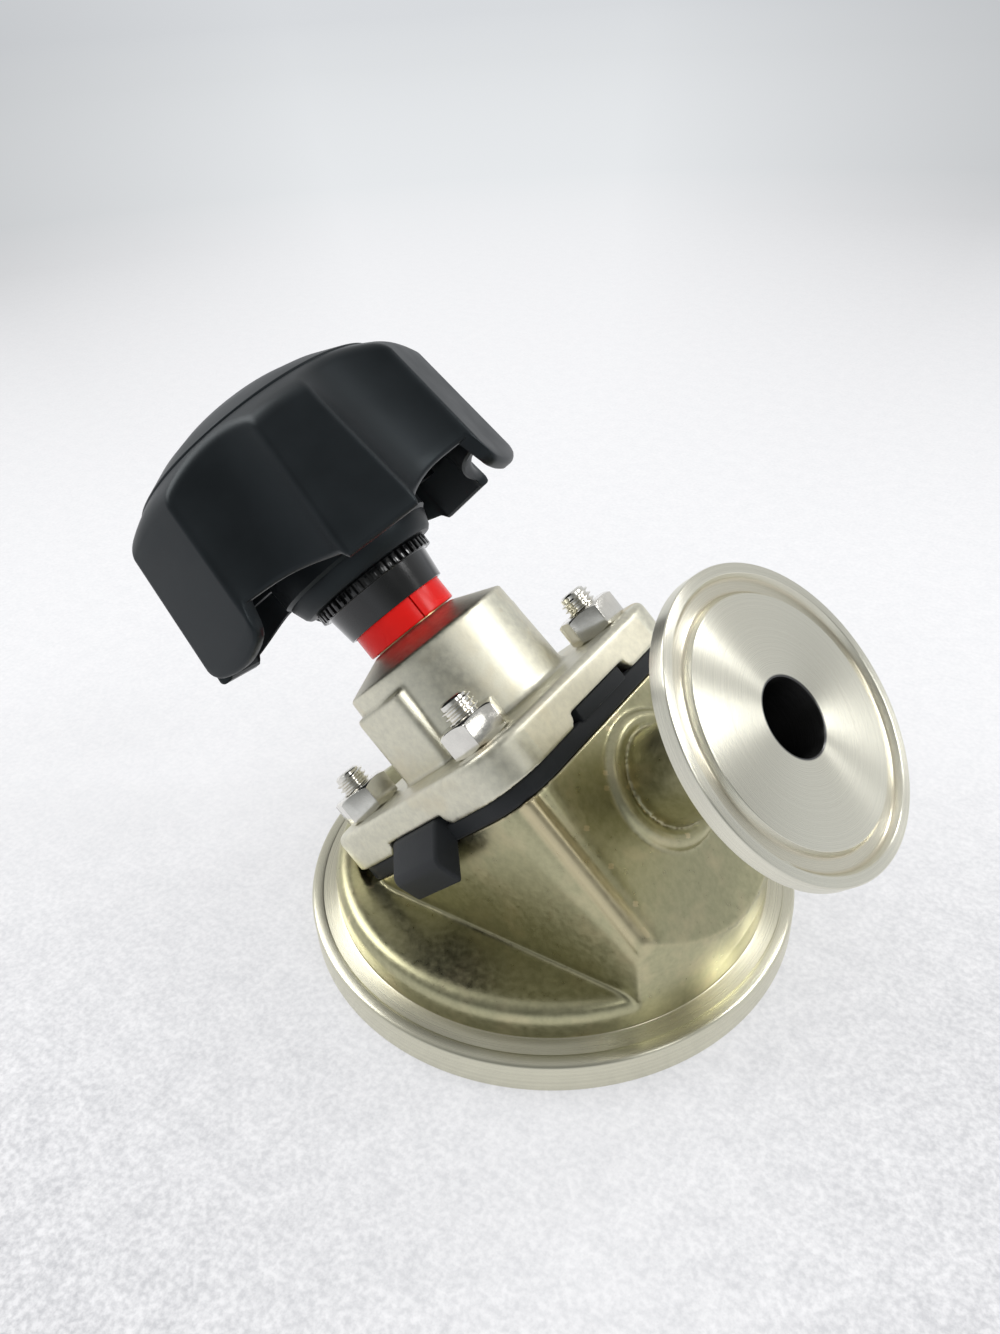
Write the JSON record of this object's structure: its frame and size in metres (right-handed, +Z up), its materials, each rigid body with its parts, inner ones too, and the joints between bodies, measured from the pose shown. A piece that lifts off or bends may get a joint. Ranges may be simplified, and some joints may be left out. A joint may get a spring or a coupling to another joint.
{
  "type": "tank bottom valve",
  "caption": "Manual weir diaphragm valve with a clamp ferrule for the tank's bottom, a smaller clamp outlet and a lobed handwheel on a leaning bonnet.",
  "frame": {"origin": "centre of the tank ferrule's face", "axes": "+Z up from the tank ferrule's face, +X towards the outlet, the diaphragm's tongue on the -Y side"},
  "size_m": [0.1375, 0.091, 0.0992],
  "materials": {
    "cast_steel": "satin cast stainless",
    "polished_steel": "turned bright stainless",
    "bronze": "turned",
    "diaphragm_rubber": "moulded, matte",
    "seal_rubber": "smooth",
    "red_plastic": "gloss",
    "gloss_black": "gloss",
    "matte_black": "semi-matte moulded"
  },
  "bodies": {
    "valve": {"valve_body": "cast_steel", "diaphragm": "diaphragm_rubber", "bonnet": "cast_steel", "bonnet_studs": "polished_steel", "bonnet_nuts": "polished_steel", "spindle_bush": "bronze", "bush_o_ring": "seal_rubber", "spindle_o_ring": "seal_rubber", "spindle_wiper": "seal_rubber", "indicator_ring": "red_plastic", "ring_circlip": "polished_steel"},
    "pressure_piece": {"compressor": "cast_steel", "compressor_pins": "polished_steel", "thrust_washer": "bronze", "diaphragm_stud": "polished_steel"},
    "handwheel": {"handwheel": "matte_black", "handwheel_cap": "matte_black", "handwheel_screw": "polished_steel", "handwheel_washer": "polished_steel", "indicator_sleeve": "gloss_black", "spindle": "polished_steel"}
  },
  "joints": [
    {"name": "spindle_lift", "type": "slide", "parent": "valve", "child": "pressure_piece", "axis": [-0.7071, 0, 0.7071], "range_m": [-0.004, 0], "deforming": ["diaphragm"]},
    {"name": "handwheel_turn", "type": "hinge", "parent": "pressure_piece", "child": "handwheel", "pos_m": [-0.03803, 0, 0.06053], "axis": [-0.7071, 0, 0.7071], "range_deg": [-720, 0]}
  ],
  "couplings": [
    {"joint": "spindle_lift", "follows": "handwheel_turn", "m_per_rad": 0.000318}
  ]
}
